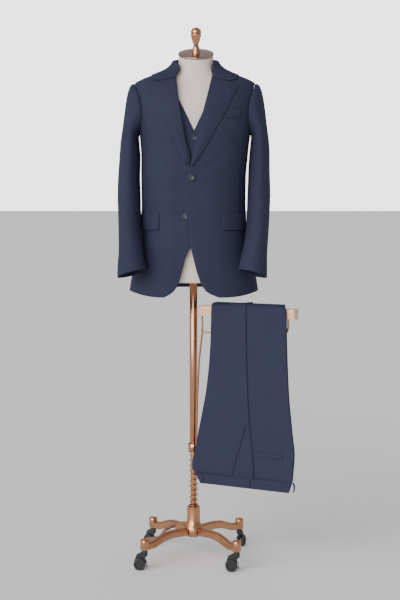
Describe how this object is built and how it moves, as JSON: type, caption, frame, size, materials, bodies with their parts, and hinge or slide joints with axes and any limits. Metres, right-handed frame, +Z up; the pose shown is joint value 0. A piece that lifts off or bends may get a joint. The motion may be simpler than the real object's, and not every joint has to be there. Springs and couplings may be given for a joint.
{
  "type": "three-piece suit on a limbless dress form with a castor stand and trouser bar",
  "caption": "Navy jacket, waistcoat and folded trousers on a limbless dress form with pole, sprung height slide, castor base and swinging trouser bar.",
  "frame": {"origin": "middle of the whole object's box, on the floor under the castors", "axes": "+Z up, -Y the way the jacket faces, +X the wearer's left"},
  "size_m": [0.5799, 0.4058, 1.7507],
  "materials": {
    "navy_wool": "matte navy worsted wool",
    "navy_dark": "matte navy worsted wool, inner plies",
    "button_navy": "satin dark navy",
    "linen": "cream linen cover",
    "copper": "copper-coloured plated metal, satin",
    "cap_metal": "rose-brown polished metal",
    "pale_wood": "pale varnished wood",
    "black_plastic": "black moulded plastic"
  },
  "bodies": {
    "base": {"socket": "copper", "leg_front_right": "copper", "leg_front_left": "copper", "leg_back_left": "copper", "leg_back_right": "copper"},
    "column": {"pole_inner": "copper", "spring": "copper"},
    "upper": {"jacket_front_left": "navy_wool", "jacket_front_right": "navy_wool", "jacket_side_left": "navy_wool", "jacket_side_right": "navy_wool", "jacket_back_left": "navy_wool", "jacket_back_right": "navy_wool", "top_sleeve_left": "navy_wool", "top_sleeve_right": "navy_wool", "under_sleeve_left": "navy_wool", "under_sleeve_right": "navy_wool", "lapel_left": "navy_wool", "lapel_right": "navy_wool", "flap_left": "navy_wool", "flap_right": "navy_wool", "collar": "navy_wool", "breast_welt": "navy_wool", "waistcoat_front_left": "navy_wool", "waistcoat_front_right": "navy_wool", "waistcoat_back": "navy_wool", "button_upper": "button_navy", "button_lower": "button_navy", "cuff_buttons_left": "button_navy", "cuff_buttons_right": "button_navy", "waistcoat_button_1": "button_navy", "waistcoat_button_2": "button_navy", "waistcoat_button_3": "button_navy", "waistcoat_button_4": "button_navy", "form_body": "linen", "neck_cap": "cap_metal", "finial": "copper", "pole_outer": "copper"},
    "bar": {"trouser_bar": "pale_wood", "bar_support": "copper", "trouser_layers": "navy_dark", "trouser_front_panel": "navy_wool", "trouser_back_panel": "navy_wool", "waistband": "navy_wool", "belt_loop_1": "navy_wool", "belt_loop_2": "navy_wool", "belt_loop_open": "navy_wool", "back_pocket_welt": "navy_wool", "pocket_edge": "navy_wool"},
    "pedal_lever": {"pedal": "copper"},
    "castor_front_right": {"castor_arm_front_right": "black_plastic"},
    "wheel_front_right": {"castor_wheel_front_right": "black_plastic"},
    "brake_front_right": {"brake_front_right": "black_plastic"},
    "castor_front_left": {"castor_arm_front_left": "black_plastic"},
    "wheel_front_left": {"castor_wheel_front_left": "black_plastic"},
    "brake_front_left": {"brake_front_left": "black_plastic"},
    "castor_back_left": {"castor_arm_back_left": "black_plastic"},
    "wheel_back_left": {"castor_wheel_back_left": "black_plastic"},
    "castor_back_right": {"castor_arm_back_right": "black_plastic"},
    "wheel_back_right": {"castor_wheel_back_right": "black_plastic"}
  },
  "joints": [
    {"name": "pole_turn", "type": "hinge", "parent": "base", "child": "column", "pos_m": [-0.0428, 0.0164, 0.13], "axis": [0, 0, 1], "continuous": true},
    {"name": "height_slide", "type": "slide", "parent": "column", "child": "upper", "axis": [0, 0, 1], "range_m": [-0.1, 0.12], "deforming": ["spring"]},
    {"name": "bar_swing", "type": "hinge", "parent": "upper", "child": "bar", "pos_m": [-0.0428, 0.0164, 0.402], "axis": [0, 0, 1], "range_deg": [-90, 90]},
    {"name": "pedal_press", "type": "hinge", "parent": "base", "child": "pedal_lever", "pos_m": [-0.06779, 0.01244, 0.117], "axis": [-0.1564, 0.9877, 0], "range_deg": [0, 10], "stiffness_Nm_per_rad": 0.5},
    {"name": "swivel_front_right", "type": "hinge", "parent": "base", "child": "castor_front_right", "pos_m": [-0.19885, -0.12263, 0.075], "axis": [0, 0, 1], "continuous": true},
    {"name": "spin_front_right", "type": "hinge", "parent": "castor_front_right", "child": "wheel_front_right", "pos_m": [-0.21485, -0.12263, 0.01962], "axis": [0, -1, 0], "continuous": true},
    {"name": "brake_press_front_right", "type": "hinge", "parent": "castor_front_right", "child": "brake_front_right", "pos_m": [-0.19435, -0.12263, 0.03112], "axis": [0, -1, 0], "range_deg": [-2, 8]},
    {"name": "swivel_front_left", "type": "hinge", "parent": "base", "child": "castor_front_left", "pos_m": [0.09623, -0.13965, 0.075], "axis": [0, 0, 1], "continuous": true},
    {"name": "spin_front_left", "type": "hinge", "parent": "castor_front_left", "child": "wheel_front_left", "pos_m": [0.07873, -0.13965, 0.01962], "axis": [0, -1, 0], "continuous": true},
    {"name": "brake_press_front_left", "type": "hinge", "parent": "castor_front_left", "child": "brake_front_left", "pos_m": [0.09923, -0.13965, 0.03112], "axis": [0, -1, 0], "range_deg": [-2, 8]},
    {"name": "swivel_back_left", "type": "hinge", "parent": "base", "child": "castor_back_left", "pos_m": [0.11325, 0.15543, 0.075], "axis": [0, 0, 1], "continuous": true},
    {"name": "spin_back_left", "type": "hinge", "parent": "castor_back_left", "child": "wheel_back_left", "pos_m": [0.12022, 0.17039, 0.01962], "axis": [-0.9063, 0.4226, 0], "continuous": true},
    {"name": "swivel_back_right", "type": "hinge", "parent": "base", "child": "castor_back_right", "pos_m": [-0.18183, 0.17245, 0.075], "axis": [0, 0, 1], "continuous": true},
    {"name": "spin_back_right", "type": "hinge", "parent": "castor_back_right", "child": "wheel_back_right", "pos_m": [-0.19447, 0.18305, 0.01962], "axis": [-0.6428, -0.766, 0], "continuous": true}
  ]
}
